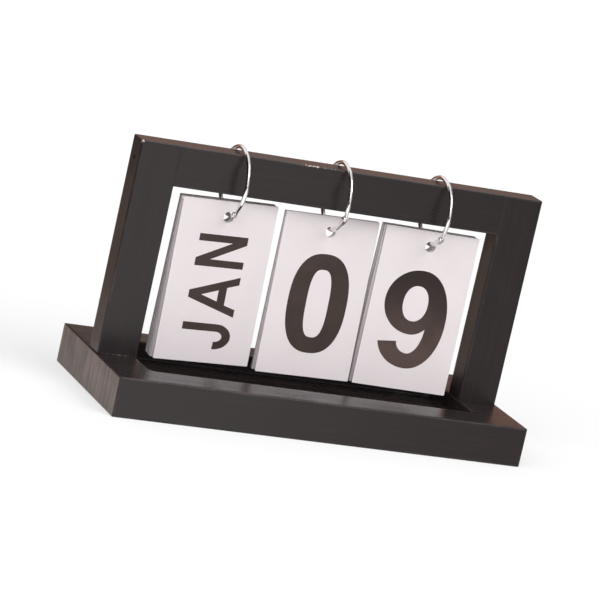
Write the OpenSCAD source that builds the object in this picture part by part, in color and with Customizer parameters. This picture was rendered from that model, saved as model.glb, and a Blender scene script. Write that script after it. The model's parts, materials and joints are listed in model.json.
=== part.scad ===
// Perpetual desk calendar with three packs of flip cards on opening rings.
//
// A lacquered board with a recess under the cards carries an upright frame of two stiles and a
// top rail. Three loose-leaf rings hang over the rail, and each is threaded through one pack of
// punched cards: the months, the tens and the ones of the date.
//
// Millimetres. The origin is the middle of the base's underside: X runs along the base, Y points
// to the back and Z points up.

/* [Base] */
// Length of the base board
base_w = 254; // [254:1:300]
// Depth of the base board from front to back
base_d = 113; // [100:1:140]
// Thickness of the base board
base_h = 23.5; // [20:0.5:28]
// Front-to-back size of the recess under the cards
recess_d = 66; // [50:1:80]
// Depth of the recess below the top face
recess_depth = 10; // [5:0.5:14]
// Radius that the cutter leaves in the corners of the recess
recess_r = 5; // [3:0.5:8]
// Chamfer on the outer edges of the wood
edge = 0.5; // [0.2:0.1:0.8]

/* [Upright frame] */
// Width of the frame over both stiles
frame_w = 252; // [246:1:254]
// Height of the frame above the base
frame_h = 126; // [120:1:150]
// Thickness of the frame from front to back
frame_t = 16; // [14:0.5:16]
// Width of one stile
stile_w = 24; // [20:0.5:26]
// Height of the top rail
rail_h = 24; // [22:0.5:24]

/* [Rings] */
// Inside diameter of a ring
ring_in_d = 37; // [37:0.5:39]
// Diameter of the ring's wire
wire_d = 2.5; // [2.3:0.1:2.6]
// Place of the month ring along the rail
month_x = -63.5; // [-65:0.5:-63]
// Place of the tens ring along the rail
tens_x = 0.5; // [-1:0.5:1]
// Place of the ones ring along the rail
ones_x = 63.5; // [63:0.5:65]

/* [Cards] */
// Width of a card
card_w = 59.5; // [50:0.5:59.5]
// Height of a card
card_h = 96; // [80:0.5:96]
// Thickness of a card
card_t = 0.45; // [0.3:0.05:0.45]
// Diameter of the punched hole
hole_d = 6.4; // [6.4:0.1:7]
// Distance from the top of a card to the middle of its hole
hole_drop = 9.3; // [8:0.1:9.3]

/* [Hidden] */
$fn = 72;
eps = 0.01;

MONTHS = ["jan", "feb", "mar", "apr", "may", "jun", "jul", "aug", "sep", "oct", "nov", "dec"];
// Cards from the front of each pack to its back
TENS = [0, 1, 2, 3];
ONES = [9, 0, 1, 2, 3, 4, 5, 6, 7, 8];
PACKS = ["month", "tens", "ones"];

// Wood
top_z = base_h + frame_h;
opening_w = frame_w - 2 * stile_w;
lacquer = [0.14, 0.13, 0.13];

// Fasteners
stile_mid_x = (frame_w - stile_w) / 2;
screw_r = 2;
screw_hole_r = 2.2;
screw_head_r = 4;
screw_head_h = 2.4;
screw_sink = 1;
screw_len = 43;
screw_tip = 6;
cross_w = 0.9;
cross_len = 4.4;
cross_depth = 1.4;
brad_r = 0.75;
brad_head_r = 1.2;
brad_head_h = 1;
brad_sink = 0.8;
brad_len = 34;
brad_z = top_z - rail_h / 2;
steel = [0.55, 0.55, 0.56];

// Rings: the wire rests on the two top edges of the rail
ring_in_r = ring_in_d / 2;
wire_r = wire_d / 2;
ring_r = ring_in_r + wire_r;
rail_gap = 0.2;
ring_z = top_z - sqrt(pow(ring_in_r, 2) - pow(frame_t / 2 - edge, 2)) + rail_gap;
ring_x = [month_x, tens_x, ones_x];
ring_yaw = [2, 1, 2.5];
// Place of each hinge round its ring, from straight down towards the front
hinge_from_bottom = [28, 62, 47];
hinge_out = 0.75;
hinge_r = ring_r + hinge_out;
knuckle_r = 1.8;
tongue_t = 1;
cheek_in = 0.62;
cheek_t = 0.75;
neck_w = 2.2;
neck_len = 3.3;
knuckle_deg = 7.2;
lap_deg = 8;
lap_gap = 0.15;
lap_end_deg = 0.6;
lap_space_len = 8;
rivet_r = 0.7;
tongue_bore_r = 0.75;
rivet_head_r = 1.3;
rivet_dome_r = 0.8;
rivet_head_h = 0.35;
chrome = [0.75, 0.75, 0.77];

// Cards: each hangs on the wire by the top of its hole. They cling together in bunches, and each
// row is one bunch, from the front of its pack to the back: how many cards, the gap in front of
// them, their shift along the wire, how far they lean back, their roll and their turn.
BUNCHES = [
    [
        [1, 0, -0.5, -0.2, -1.2, 1.5],
        [3, 1.6, -0.9, 0.6, -1.15, 0.8],
        [4, 0.45, -0.3, 1.5, -1, 0.8],
        [4, 0.6, 0, 2.9, -0.9, 0.8]
    ],
    [
        [1, 0, 0.45, -2.2, -0.35, 1],
        [3, 1, 0.15, 0.4, -0.5, 1]
    ],
    [
        [1, 0, 0.25, -1.7, 0.55, -3.5],
        [2, 1.2, -0.2, 0.1, 0.45, -3.5],
        [3, 0.45, 0, 0.6, 0.45, -3.5],
        [4, 0.5, 0.1, 1.3, 0.4, -3.5]
    ]
];
COUNT = 0;
GAP = 1;
SHIFT = 2;
LEAN = 3;
ROLL = 4;
TURN = 5;
cling_gap = 0.06;
cling_deg = 0.04;
wire_gap = 0.25;
card_white = [0.93, 0.91, 0.92];

// ---- Wood ----

// Rectangle centred on the origin with its four corners cut at 45 degrees
module cut_corners(a, b) {
    x = a / 2;
    y = b / 2;
    polygon([
        [edge - x, -y], [x - edge, -y], [x, edge - y], [x, y - edge],
        [x - edge, y], [edge - x, y], [-x, y - edge], [-x, edge - y]
    ]);
}

// Block that stands on z = 0, centred in X and Y, with all its edges chamfered
module eased_block(w, d, h) {
    intersection() {
        linear_extrude(h) cut_corners(w, d);
        translate([0, d / 2, h / 2]) rotate([90, 0, 0]) linear_extrude(d) cut_corners(w, h);
        translate([-w / 2, 0, h / 2]) rotate([90, 0, 90]) linear_extrude(w) cut_corners(d, h);
    }
}

// Pocket with round corners, cut from z = 0 upwards
module pocket(w, d, h, r) {
    translate([-w / 2 + r, -d / 2, 0]) cube([w - 2 * r, d, h]);
    translate([-w / 2, -d / 2 + r, 0]) cube([w, d - 2 * r, h]);
    for (x = [r - w / 2, w / 2 - r], y = [r - d / 2, d / 2 - r])
        translate([x, y, 0]) cylinder(r = r, h = h);
}

// Countersunk way for a stile screw, up through the base
module screw_way() {
    translate([0, 0, -eps]) cylinder(r = screw_hole_r, h = base_h + 2 * eps);
    translate([0, 0, -eps]) cylinder(r = screw_head_r, h = screw_sink + eps);
    translate([0, 0, screw_sink])
        cylinder(r1 = screw_head_r, r2 = screw_hole_r, h = screw_head_h);
}

module base_board() {
    color(lacquer) difference() {
        eased_block(base_w, base_d, base_h);
        translate([0, 0, base_h - recess_depth])
            pocket(opening_w, recess_d, recess_depth + 1, recess_r);
        for (side = [-1, 1]) translate([side * stile_mid_x, 0, 0]) screw_way();
    }
}

// Outline of the whole upright, with its outer edges chamfered and its foot left square
module frame_blank() {
    translate([0, 0, base_h]) intersection() {
        translate([0, 0, -edge]) eased_block(frame_w, frame_t, frame_h + edge);
        translate([-frame_w / 2, -frame_t / 2, 0]) cube([frame_w, frame_t, frame_h]);
    }
}

// A stile that stands on the base, bored for its screw and its brad; side is -1 or 1
module stile(side) {
    color(lacquer) difference() {
        intersection() {
            frame_blank();
            translate([side * stile_mid_x - stile_w / 2, -frame_t / 2, base_h])
                cube([stile_w, frame_t, frame_h]);
        }
        translate([side * stile_mid_x, 0, 0]) screw_body();
        brad_way(side);
    }
}

module top_rail() {
    color(lacquer) difference() {
        intersection() {
            frame_blank();
            translate([-opening_w / 2, -frame_t / 2, top_z - rail_h])
                cube([opening_w, frame_t, rail_h]);
        }
        for (side = [-1, 1]) brad_way(side);
    }
}

// ---- Screws and brads ----

// Shank, head and point of a wood screw, without the cross in its head
module screw_body() {
    shank_top = screw_sink + screw_len - screw_tip;
    translate([0, 0, screw_sink])
        cylinder(r1 = screw_head_r, r2 = screw_r, h = screw_head_h);
    translate([0, 0, screw_sink]) cylinder(r = screw_r, h = shank_top - screw_sink);
    translate([0, 0, shank_top]) cylinder(r1 = screw_r, r2 = 0.2, h = screw_tip);
}

module stile_screw(side) {
    color(steel) translate([side * stile_mid_x, 0, 0]) difference() {
        screw_body();
        for (turn = [0, 90]) translate([0, 0, screw_sink - eps]) rotate([0, 0, turn])
            translate([-cross_len / 2, -cross_w / 2, 0]) cube([cross_len, cross_w, cross_depth]);
    }
}

// Moves a shape that runs along +X from x = 0 to the outer face of a stile, pointing inwards
module at_brad(side) {
    translate([side * frame_w / 2, 0, brad_z]) rotate([0, side < 0 ? 0 : 180, 0]) children();
}

module brad_way(side) {
    at_brad(side) rotate([0, 90, 0]) {
        translate([0, 0, -eps]) cylinder(r = brad_r, h = brad_sink + brad_len + eps);
        translate([0, 0, -eps]) cylinder(r = brad_head_r, h = brad_sink + brad_head_h + eps);
    }
}

module rail_brad(side) {
    color(steel) at_brad(side) rotate([0, 90, 0]) translate([0, 0, brad_sink]) {
        cylinder(r = brad_r, h = brad_len);
        cylinder(r = brad_head_r, h = brad_head_h);
    }
}

// ---- Rings ----

// Hangs a shape on the rail: X is then the ring's own axis and the origin is its middle
module at_ring(i) {
    translate([ring_x[i], 0, ring_z]) rotate([0, 0, ring_yaw[i]]) children();
}

// Turns a ring drawn flat in XY, with its hinge on +X, so that the hinge comes to its place
module stand_up(i) {
    at_ring(i) rotate([90, 0, 90]) rotate([0, 0, 270 - hinge_from_bottom[i]]) children();
}

// Stretch of the ring's round wire from one angle to another
module wire(from, to) {
    rotate([0, 0, from]) rotate_extrude(angle = to - from) translate([ring_r, 0])
        circle(r = wire_r, $fn = 24);
}

// Space of the other half's lap at the closure. It runs on from the shoulder at that angle: way is
// 1 towards larger angles and -1 towards smaller ones, and side is 1 above the middle of the wire
// and -1 below it.
module lap_space(shoulder, way, side) {
    rotate([0, 0, shoulder]) translate([
        ring_r - wire_d,
        way > 0 ? 0 : -lap_space_len,
        side > 0 ? -lap_gap / 2 : lap_gap / 2 - wire_d
    ]) cube([2 * wire_d, lap_space_len, wire_d]);
}

// Flat eye of one wire end with its neck; the neck runs along +Y or -Y
module eye(thick, way) {
    translate([hinge_r, 0, 0]) cylinder(r = knuckle_r, h = thick);
    translate([ring_r - neck_w / 2, way > 0 ? 0 : -neck_len, 0])
        cube([neck_w, neck_len, thick]);
}

// Half that carries the cards: it ends in the hinge's fork below and the closure behind
module ring_back_half(i) {
    color(chrome) stand_up(i) difference() {
        union() {
            wire(knuckle_deg, 180 + lap_deg - lap_end_deg);
            translate([0, 0, cheek_in]) eye(cheek_t, 1);
            translate([0, 0, -cheek_in - cheek_t]) eye(cheek_t, 1);
        }
        translate([hinge_r, 0, -wire_d]) cylinder(r = rivet_r, h = 2 * wire_d);
        lap_space(180 - lap_deg, 1, -1);
    }
}

// Half that opens: it ends in the hinge's tongue and passes over the rail
module ring_front_half(i) {
    color(chrome) stand_up(i) difference() {
        union() {
            wire(180 - lap_deg + lap_end_deg, 360 - knuckle_deg);
            translate([0, 0, -tongue_t / 2]) eye(tongue_t, -1);
        }
        translate([hinge_r, 0, -wire_d]) cylinder(r = tongue_bore_r, h = 2 * wire_d);
        lap_space(180 + lap_deg, -1, 1);
    }
}

module ring_rivet(i) {
    half_len = cheek_in + cheek_t;
    color(chrome) stand_up(i) translate([hinge_r, 0, 0]) {
        translate([0, 0, -half_len]) cylinder(r = rivet_r, h = 2 * half_len);
        for (end = [0, 180]) rotate([end, 0, 0]) translate([0, 0, half_len])
            cylinder(r1 = rivet_head_r, r2 = rivet_dome_r, h = rivet_head_h);
    }
}

// ---- Cards ----

// One card, hung from the middle of its hole
module card() {
    rotate([90, 0, 0]) translate([0, 0, -card_t / 2]) linear_extrude(card_t) difference() {
        translate([-card_w / 2, hole_drop - card_h]) square([card_w, card_h]);
        circle(d = hole_d);
    }
}

// Number of cards in a pack in front of its bunch b
function cards_before(bunches, b) =
    b == 0 ? 0 : bunches[b - 1][COUNT] + cards_before(bunches, b - 1);

// Number of the bunch that card k is in
function bunch_of(bunches, k, b = 0) =
    k < cards_before(bunches, b + 1) ? b : bunch_of(bunches, k, b + 1);

// Gap between card k and the card in front of it
function gap_before(bunches, k) =
    let (b = bunch_of(bunches, k)) k == cards_before(bunches, b) ? bunches[b][GAP] : cling_gap;

// Depth of card k behind the front card of its pack
function depth_of(bunches, k) =
    k == 0 ? 0 : depth_of(bunches, k - 1) + card_t + gap_before(bunches, k);

// Card number k, counted from the front, of the n cards on ring i
module hung_card(i, k, n) {
    bunches = BUNCHES[i];
    bunch = bunches[bunch_of(bunches, k)];
    play = hole_d / 2 - wire_r - wire_gap;
    rise = play - sqrt(pow(play, 2) - pow(bunch[SHIFT], 2));
    y = depth_of(bunches, k) - depth_of(bunches, n - 1) / 2;
    z = wire_gap - sqrt(pow(ring_in_r, 2) - pow(y, 2)) - hole_d / 2 + rise;
    color(card_white) at_ring(i) translate([bunch[SHIFT], y, z])
        rotate([bunch[LEAN] + k * cling_deg, bunch[ROLL], bunch[TURN]]) card();
}

// ---- The calendar ----

base_board();
stile(-1);  // left_stile
stile(1);  // right_stile
top_rail();
stile_screw(-1);  // left_stile_screw
stile_screw(1);  // right_stile_screw
rail_brad(-1);  // left_rail_brad
rail_brad(1);  // right_rail_brad

for (i = [0 : 2]) {
    ring_back_half(i);
    ring_front_half(i);
    ring_rivet(i);
}

for (k = [0 : len(MONTHS) - 1])
    hung_card(0, k, len(MONTHS));
for (k = [0 : len(TENS) - 1])
    hung_card(1, k, len(TENS));
for (k = [0 : len(ONES) - 1])
    hung_card(2, k, len(ONES));
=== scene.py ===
# %% [markdown]
# # A perpetual desk calendar
#
# The calendar never runs out: three packs of punched cards hang from steel rings on a black
# lacquered frame, and the date is set by turning cards over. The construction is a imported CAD
# model, which also holds the joints. Nothing in it is moved here. For each plain solid we build a
# finer piece in the same place, let it ride on the same body, and give it a finish.

import json
import math

import bmesh
import bpy
from mathutils import Matrix, Vector, geometry

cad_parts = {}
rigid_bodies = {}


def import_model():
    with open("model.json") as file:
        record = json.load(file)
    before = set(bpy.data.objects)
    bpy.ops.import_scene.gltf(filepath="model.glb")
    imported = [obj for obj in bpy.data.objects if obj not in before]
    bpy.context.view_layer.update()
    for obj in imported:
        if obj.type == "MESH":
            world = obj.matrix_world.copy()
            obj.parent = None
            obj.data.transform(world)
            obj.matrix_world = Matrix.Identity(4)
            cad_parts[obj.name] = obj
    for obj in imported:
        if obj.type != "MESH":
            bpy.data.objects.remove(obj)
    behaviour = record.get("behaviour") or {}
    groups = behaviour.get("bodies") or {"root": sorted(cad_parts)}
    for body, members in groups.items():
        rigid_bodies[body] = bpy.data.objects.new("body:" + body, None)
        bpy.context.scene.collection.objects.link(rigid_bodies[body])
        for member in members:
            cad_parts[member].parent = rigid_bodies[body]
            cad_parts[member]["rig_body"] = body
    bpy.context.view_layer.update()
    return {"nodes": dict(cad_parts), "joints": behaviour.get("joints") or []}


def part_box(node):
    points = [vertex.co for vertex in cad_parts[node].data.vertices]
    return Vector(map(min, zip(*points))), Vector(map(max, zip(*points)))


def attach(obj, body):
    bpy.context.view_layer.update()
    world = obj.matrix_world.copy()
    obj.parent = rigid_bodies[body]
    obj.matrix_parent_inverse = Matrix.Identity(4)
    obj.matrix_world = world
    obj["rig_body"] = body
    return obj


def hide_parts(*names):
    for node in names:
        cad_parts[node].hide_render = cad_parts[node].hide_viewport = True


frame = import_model()
joints = {joint["name"]: joint for joint in frame["joints"]}
scene = bpy.context.scene
MM = 0.001

# %% [markdown]
# ## The camera
#
# A product picture is taken from some way off with a long lens, so that parallel edges stay nearly
# parallel. The camera here is set by where it looks, how far round and above it stands, and how
# much it is rolled. A Track To constraint could do all but the roll, but a matrix of three
# perpendicular axes says it in one go and leaves nothing to be evaluated later.

# %% Set up the camera
azimuth = math.radians(22.49)
elevation = math.radians(11.482)
roll = math.radians(12.645)
camera_distance = 2140.3 * MM
aim = Vector((-7.86, 0, 68.76)) * MM
lens_mm = 221.0
sensor_mm = 36.0

forward = Vector((
    math.sin(azimuth) * math.cos(elevation),
    math.cos(azimuth) * math.cos(elevation),
    -math.sin(elevation),
))
level_right = Vector((math.cos(azimuth), -math.sin(azimuth), 0))
level_up = level_right.cross(forward)
right = level_right * math.cos(roll) + level_up * math.sin(roll)
up = level_up * math.cos(roll) - level_right * math.sin(roll)


def new_object(name, data):
    """Puts a mesh, camera or lamp into the scene."""
    made = bpy.data.objects.new(name, data)
    scene.collection.objects.link(made)
    return made


camera_data = bpy.data.cameras.new("camera")
camera_data.lens = lens_mm
camera_data.sensor_width = sensor_mm
camera_data.clip_end = 50
camera = new_object("camera", camera_data)
turn = Matrix((right, up, -forward)).transposed().to_4x4()
camera.matrix_world = Matrix.Translation(aim - forward * camera_distance) @ turn
scene.camera = camera
scene.view_settings.view_transform = "Standard"
print("camera at", [round(x, 3) for x in camera.matrix_world.translation])

# %% [markdown]
# ## Helpers for node trees
#
# Writing `nodes.new`, setting each value and linking each socket takes many lines. One helper that
# adds a node and fills its inputs, with a number or with another node's output, keeps a material
# as short as its idea. The others name the few things that come back: sums, ramps, mixed colours
# and the place of a point on the piece.

# %% Helpers that add nodes
def add(tree, kind, inputs=None, **settings):
    """Adds a node, sets its properties, and fills each input with a value or a link."""
    node = tree.nodes.new(kind)
    for name, value in settings.items():
        setattr(node, name, value)
    for name, value in (inputs or {}).items():
        if isinstance(value, bpy.types.NodeSocket):
            tree.links.new(value, node.inputs[name])
        else:
            node.inputs[name].default_value = value
    return node


def maths(tree, operation, a, b=0.0):
    return add(tree, "ShaderNodeMath", {0: a, 1: b}, operation=operation).outputs[0]


def total(tree, start, *parts):
    """The start, plus each part's value times its weight."""
    for value, weight in parts:
        start = maths(tree, "ADD", start, maths(tree, "MULTIPLY", value, weight))
    return start


def vector_maths(tree, operation, a, b=(0, 0, 0)):
    return add(tree, "ShaderNodeVectorMath", {0: a, 1: b}, operation=operation).outputs


def ramp(tree, value, low, high):
    """0 at low and 1 at high, with a smooth change between them; low may be the larger."""
    node = add(tree, "ShaderNodeMapRange", {"Value": value, "From Min": low, "From Max": high},
               interpolation_type="SMOOTHSTEP")
    return node.outputs["Result"]


def blend_colours(tree, share, first, second):
    node = add(tree, "ShaderNodeMix", {0: share, 6: first, 7: second}, data_type="RGBA")
    return node.outputs[2]


def noise(tree, place, scale, detail, roughness=0.5):
    return add(tree, "ShaderNodeTexNoise", {
        "Vector": place, "Scale": scale, "Detail": detail, "Roughness": roughness,
    }).outputs["Fac"]


def place_on(tree, kind="Object"):
    """Where each point of the surface lies in the piece, in metres, or which way it faces."""
    return add(tree, "ShaderNodeTexCoord").outputs[kind]


def split(tree, vector):
    return add(tree, "ShaderNodeSeparateXYZ", {0: vector}).outputs


def edge_number(tree):
    """The number that the mesh carries for each point."""
    return add(tree, "ShaderNodeAttribute", attribute_name="edge").outputs["Fac"]


# %% [markdown]
# ## Effects that several finishes share
#
# Real surfaces are never even. What comes back in several finishes is a shader node group with
# named inputs, built once and placed in each material with its own values. The first is
# **mottling**: a slow, soft change, such as a coat that went on by hand shows over centimetres and
# paper shows over less than a millimetre. A noise texture is enough. Its scale is turned into a
# size in metres, because a size can be measured on the real thing.

# %% Node group: mottling
def new_group(name, inputs, outputs):
    """Starts a shader node group; the inputs are {name: (kind of socket, value at first)}."""
    tree = bpy.data.node_groups.new(name, "ShaderNodeTree")
    for label, (kind, value) in inputs.items():
        socket = tree.interface.new_socket(label, in_out="INPUT", socket_type=f"NodeSocket{kind}")
        socket.default_value = value
    for label in outputs:
        tree.interface.new_socket(label, in_out="OUTPUT", socket_type="NodeSocketFloat")
    inlet, outlet = tree.nodes.new("NodeGroupInput"), tree.nodes.new("NodeGroupOutput")
    return tree, inlet.outputs, outlet.inputs


def mottling_group():
    tree, given, result = new_group(
        "mottling", {"Size": ("Float", 20 * MM), "Detail": ("Float", 2.0)}, ["Value"])
    scale = maths(tree, "DIVIDE", 1.0, given["Size"])
    cloud = noise(tree, place_on(tree), scale, given["Detail"])
    tree.links.new(ramp(tree, cloud, 0.3, 0.7), result["Value"])
    return tree


mottling = mottling_group()
print("made group", mottling.name)

# %% [markdown]
# **Streaks** are long thin lines, such as wood grain, brush marks or the lines on drawn wire. A
# wave texture would draw lines that are too regular. A noise texture stretched along one axis
# gives lines that start, fade and end. The lines per metre along X, Y and Z say how far it is
# stretched: few of them along an axis make the streaks run that way.

# %% Node group: streaks
def streaks_group():
    tree, given, result = new_group(
        "streaks",
        {"Lines per metre": ("Vector", (20, 900, 900)), "Sharpness": ("Float", 0.15)},
        ["Value"],
    )
    stretched = vector_maths(tree, "MULTIPLY", place_on(tree), given["Lines per metre"])[0]
    lines = noise(tree, stretched, 1.0, 3.0, 0.6)
    low = maths(tree, "SUBTRACT", 0.5, given["Sharpness"])
    high = maths(tree, "ADD", 0.5, given["Sharpness"])
    tree.links.new(ramp(tree, lines, low, high), result["Value"])
    return tree


streaks = streaks_group()
print("made group", streaks.name)

# %% [markdown]
# **Edge wear** eats into edges: a thin coat rubs through in patches and breaks off in crumbs. The
# group reads a number that the mesh itself carries, 1 on an edge and 0 away from it. The Bevel
# node could find edges too, but its result depends on how it is sampled, and a number in the mesh
# is exact.

# %% Node group: edge wear
RUBBED_FROM, RUBBED_TO = 0.42, 0.68
CRUMBS_PER_METRE = 210.0
CHIP_LIMIT, CHIP_LIMIT_DROP, CHIP_RIM = 0.86, 0.22, 0.03
EDGE_FROM, EDGE_TO = 0.35, 0.95


def wear_group():
    tree, given, result = new_group(
        "edge wear",
        {"Rub": ("Float", 0.5), "Patch": ("Float", 12 * MM), "Chips": ("Float", 0.5)},
        ["Rubbed", "Chipped"],
    )
    place = place_on(tree)
    patches = noise(tree, place, maths(tree, "DIVIDE", 1.0, given["Patch"]), 5.0)
    rubbed = maths(tree, "MULTIPLY", ramp(tree, patches, RUBBED_FROM, RUBBED_TO), given["Rub"])
    crumbs = noise(tree, place, CRUMBS_PER_METRE, 3.0)
    limit = total(tree, CHIP_LIMIT, (given["Chips"], -CHIP_LIMIT_DROP))
    chipped = ramp(tree, crumbs, limit, maths(tree, "ADD", limit, CHIP_RIM))
    on_edge = ramp(tree, edge_number(tree), EDGE_FROM, EDGE_TO)
    tree.links.new(maths(tree, "MULTIPLY", rubbed, on_edge), result["Rubbed"])
    tree.links.new(maths(tree, "MULTIPLY", chipped, on_edge), result["Chipped"])
    return tree


edge_wear = wear_group()
print("made group", edge_wear.name)

# %% [markdown]
# A **knock** is one place where something hit the coat. It could be painted by hand, but a spot
# with a middle and a reach along X, Y and Z can be said in six numbers. It is ragged, because a
# noise decides which crumbs broke off, and the limit that the noise has to pass rises outwards.

# %% Node group: a knock
KNOCK_LIMIT, KNOCK_LIMIT_RISE = 0.36, 0.3


def knock_group():
    tree, given, result = new_group(
        "knock",
        {"Middle": ("Vector", (0, 0, 0)), "Reach": ("Vector", (10 * MM, 2 * MM, 2 * MM)),
         "Crumbs per metre": ("Float", 900.0)},
        ["Chipped"],
    )
    place = place_on(tree)
    offset = vector_maths(tree, "SUBTRACT", place, given["Middle"])[0]
    away = vector_maths(tree, "DIVIDE", offset, given["Reach"])[0]
    away = vector_maths(tree, "LENGTH", away)["Value"]
    crumbs = noise(tree, place, given["Crumbs per metre"], 2.0)
    limit = total(tree, KNOCK_LIMIT, (away, KNOCK_LIMIT_RISE))
    tree.links.new(ramp(tree, maths(tree, "SUBTRACT", crumbs, limit), -0.02, 0.03), result["Chipped"])
    return tree


knock = knock_group()
print("made group", knock.name)

# %% [markdown]
# Each finish is one Principled shader. What is the same all over is set on its sockets when it is
# made. What changes over the surface is linked to them in one call, so the last lines of each
# finish say what drives its colour, its gloss and its relief.

# %% Helpers for materials
def use(tree, group, **values):
    """Places a node group in a material, with its own values, and gives its outputs."""
    node = tree.nodes.new("ShaderNodeGroup")
    node.node_tree = group
    for name, value in values.items():
        node.inputs[name.replace("_", " ")].default_value = value
    return node.outputs


def new_material(name, **sockets):
    """A material with one Principled shader whose constant sockets are set directly."""
    material = bpy.data.materials.new(name)
    material.use_nodes = True
    shader = material.node_tree.nodes["Principled BSDF"]
    for label, value in sockets.items():
        shader.inputs[label.replace("_", " ")].default_value = value
    return material, material.node_tree, shader


def drive(tree, shader, colour, roughness, height, strength, relief):
    """Links what changes over a surface; relief is how far a height of 1 stands out, in metres."""
    bump = add(tree, "ShaderNodeBump", {"Height": height, "Strength": strength, "Distance": relief})
    for label, value in (("Base Color", colour), ("Roughness", roughness),
                         ("Normal", bump.outputs["Normal"])):
        tree.links.new(value, shader.inputs[label])


# %% [markdown]
# ## Black lacquer on wood
#
# The frame is softwood under a thin coat of black lacquer. The coat is glossy but not a mirror, the
# grain telegraphs through it as faint lines along each stick, and where hands lift the calendar the
# edges have rubbed through to a brown primer, with a few pale chips. One function makes the finish
# for a grain along X or along Z.

# %% The lacquer finish
LACQUER = (0.0180, 0.0136, 0.0146, 1)
LACQUER_BROWN = (0.0255, 0.0180, 0.0165, 1)
PRIMER = (0.085, 0.062, 0.052, 1)
CHIP = (0.66, 0.58, 0.52, 1)
BRUSH_TO_GRAIN = 0.3
LACQUER_ROUGHNESS = 0.21


def lacquered_wood(name, lines_per_metre, chips, knocks):
    """Each knock is its middle and its reach in mm, and how far it bares what is underneath."""
    material, tree, shader = new_material(name, Specular_IOR_Level=0.3)
    brush_lines = [BRUSH_TO_GRAIN * count for count in lines_per_metre]
    grain = use(tree, streaks, Lines_per_metre=lines_per_metre, Sharpness=0.16)["Value"]
    brush = use(tree, streaks, Lines_per_metre=brush_lines, Sharpness=0.2)["Value"]
    cloud = use(tree, mottling, Size=35 * MM, Detail=3.0)["Value"]
    peel = use(tree, mottling, Size=3.5 * MM, Detail=1.0)["Value"]
    wear = use(tree, edge_wear, Rub=0.35, Patch=16 * MM, Chips=chips)
    tone = maths(tree, "MULTIPLY", grain, total(tree, 0.2, (cloud, 0.6)))
    colour = blend_colours(tree, tone, LACQUER, LACQUER_BROWN)
    colour = blend_colours(tree, wear["Rubbed"], colour, PRIMER)
    colour = blend_colours(tree, wear["Chipped"], colour, CHIP)
    for middle, reach, bared in knocks:
        spot = use(tree, knock, Middle=[x * MM for x in middle], Reach=[x * MM for x in reach])
        colour = blend_colours(tree, maths(tree, "MULTIPLY", spot["Chipped"], bared), colour, CHIP)
    roughness = total(tree, LACQUER_ROUGHNESS, (cloud, 0.07), (brush, 0.06), (wear["Rubbed"], 0.2))
    height = total(tree, 0.0, (grain, 0.35), (peel, 0.5), (brush, 0.6), (wear["Chipped"], -1.0))
    drive(tree, shader, colour, roughness, height, strength=0.35, relief=0.06 * MM)
    return material


rail_knocks = [((-24, -8, 149.5), (4.5, 0.9, 0.9), 1.0), ((-19, -8, 149.5), (2.5, 1.0, 1.0), 1.0),
               ((-12, -8, 149.5), (6, 0.5, 0.5), 1.0)]
stile_knocks = [((-126, -8, 149), (1.5, 1.5, 2.0), 1.0), ((-113, -8, 24), (11, 0.8, 0.6), 0.12)]
lacquer_along = lacquered_wood("lacquer_grain_along_the_board", (18, 700, 700), 0.5, rail_knocks)
lacquer_upright = lacquered_wood("lacquer_grain_up_the_stile", (700, 700, 18), 0.25, stile_knocks)
print("made", lacquer_along.name, "and", lacquer_upright.name)

# %% [markdown]
# The end grain of the base drank the lacquer: it is duller, greyer and scored upright by the saw.
# Its paleness is partly painted light: the end faces are painted lighter, as a side that catches
# the light from the left. It could be the same finish with other values, but nothing of the gloss
# is left there, so it is a short finish of its own.

# %% The dull end grain
# the pale end tone is partly painted light: a lighter colour for the lit end faces
END_DARK, END_PALE_PAINTED_LIGHT = (0.070, 0.050, 0.043, 1), (0.255, 0.200, 0.182, 1)


def end_grain(name):
    material, tree, shader = new_material(name, Specular_IOR_Level=0.25)
    saw = use(tree, streaks, Lines_per_metre=(300, 420, 30), Sharpness=0.2)["Value"]
    cloud = use(tree, mottling, Size=22 * MM, Detail=4.0)["Value"]
    tone = total(tree, 0.0, (saw, 0.5), (cloud, 0.5))
    colour = blend_colours(tree, tone, END_DARK, END_PALE_PAINTED_LIGHT)
    drive(tree, shader, colour, total(tree, 0.42, (cloud, 0.15)), saw, strength=0.5, relief=0.12 * MM)
    return material


dull_end_painted_lighter = end_grain("lacquer_on_end_grain")
print("made", dull_end_painted_lighter.name)

# %% [markdown]
# ## Card
#
# The cards are smooth white board with a satin coating; close up there are fibres. Seen from the
# side, a pack shows its cut edges in light and dark bands, where the cards shade each other; that
# shade is painted into the colour of the cut edges. A cut edge is told from the coated face by
# which way it points, and the mesh carries how much painted shade it gets.

# %% The card
COATED, COATED_PALER = (0.815, 0.745, 0.760, 1), (0.840, 0.770, 0.785, 1)
# cut-edge tones: painted light and painted shade, for the light and dark bands of a pack's side
CUT_PALE_PAINTED_LIGHT, CUT_DARK_PAINTED_SHADE = (0.95, 0.91, 0.92, 1), (0.25, 0.22, 0.23, 1)
FACE_TURN, CUT_TURN = 0.8, 0.5


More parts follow.
